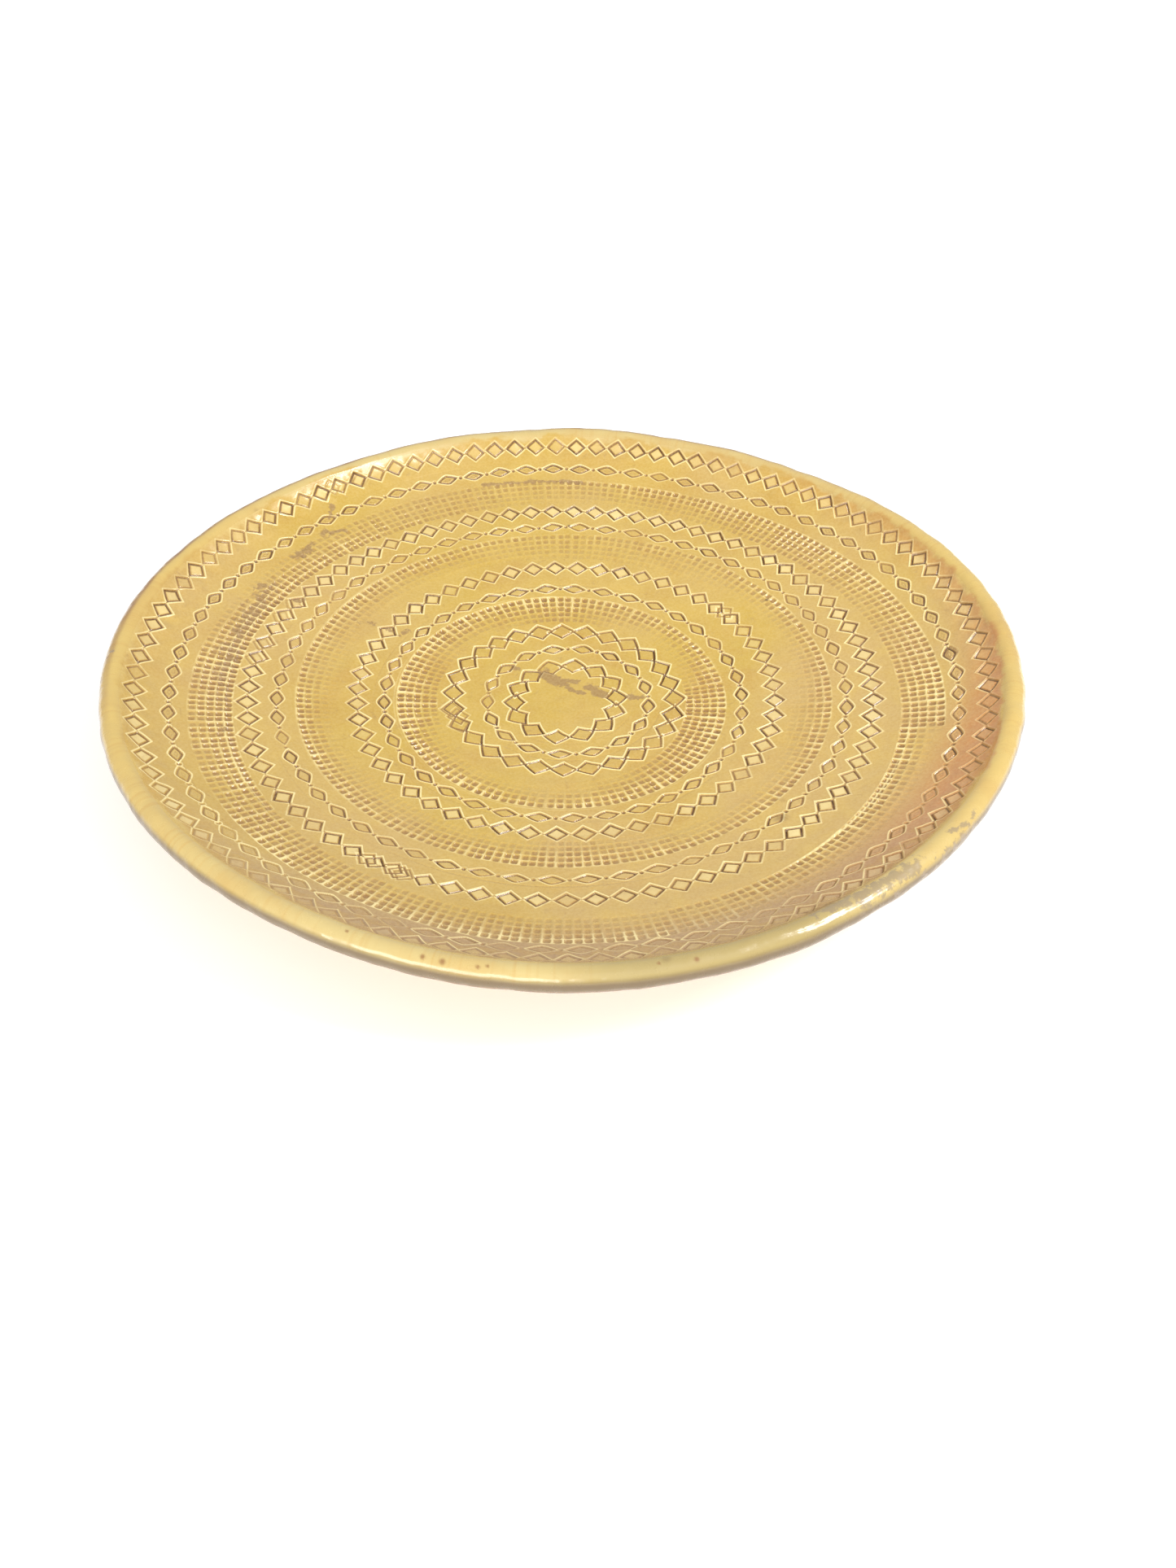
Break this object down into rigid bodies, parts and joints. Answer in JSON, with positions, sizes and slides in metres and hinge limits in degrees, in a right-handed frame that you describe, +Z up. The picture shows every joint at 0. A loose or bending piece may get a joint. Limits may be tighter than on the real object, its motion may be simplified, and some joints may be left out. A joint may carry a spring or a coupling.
{
  "type": "ceramic plate",
  "caption": "Large shallow round glazed stoneware dish with a rounded lip and a foot ring, its face stamped with concentric rings of small motifs, for serving food or display.",
  "frame": {"origin": "centre of the foot ring's resting plane, on the axis of the wheel that the dish was thrown on", "axes": "+Z up, out of the dish along the axis; +X and +Y lie in the resting plane, and the dish is round about +Z"},
  "size_m": [0.3699, 0.37, 0.0442],
  "materials": {
    "bare_clay": "matt fired stoneware, slightly gritty",
    "honey_glaze": "glossy honey-yellow glaze, pooling brown in the stamped lines",
    "pale_lip_glaze": "glossy pale yellow glaze with amber streaks",
    "back_honey_glaze": "glossy honey glaze, a little thinner than on the face"
  },
  "bodies": {
    "root": {"clay_body": "bare_clay", "foot_ring": "bare_clay", "face_glaze": "honey_glaze", "lip_glaze": "pale_lip_glaze", "back_glaze": "back_honey_glaze", "recess_glaze": "back_honey_glaze"}
  },
  "joints": []
}
